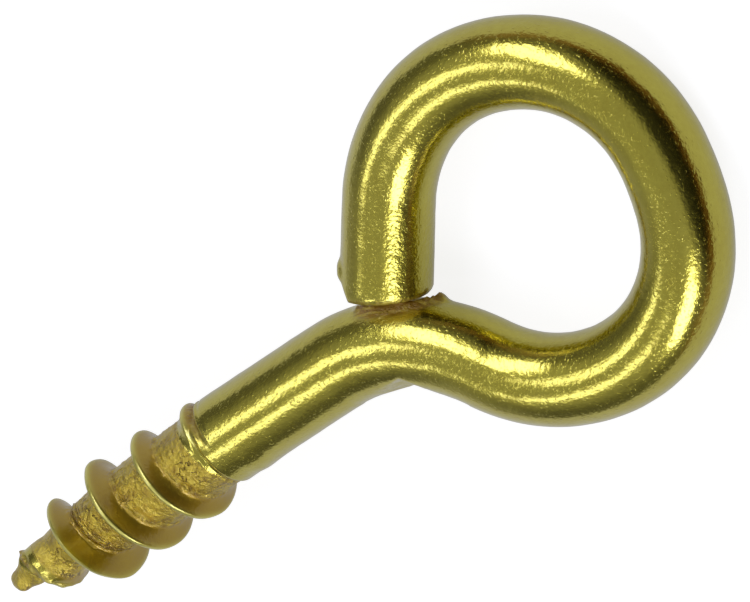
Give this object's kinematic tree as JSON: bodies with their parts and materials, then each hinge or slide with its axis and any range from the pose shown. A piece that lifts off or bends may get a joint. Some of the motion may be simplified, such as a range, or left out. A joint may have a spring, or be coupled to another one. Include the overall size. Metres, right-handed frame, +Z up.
{
  "type": "screw eye",
  "caption": "Closed-loop screw eye bent from wire, with a coarse wood-screw thread and gimlet point, for hanging a cord, chain or hook from timber.",
  "frame": {"origin": "on the floor under the middle of the part's length, level with the centre of the eye", "axes": "+X along the shank from the tip towards the eye, with the eye end about 1 degree lower as the part lies; +Y across the eye, to the side of the tail; +Z up, through the eye"},
  "size_m": [0.0258, 0.0112, 0.0032],
  "materials": {
    "electro_brassed_steel": "bright electro-brassed steel wire with fine bending scuffs, browner in the thread's roots and crevices"
  },
  "bodies": {
    "root": {"screw_eye": "electro_brassed_steel"}
  },
  "joints": []
}
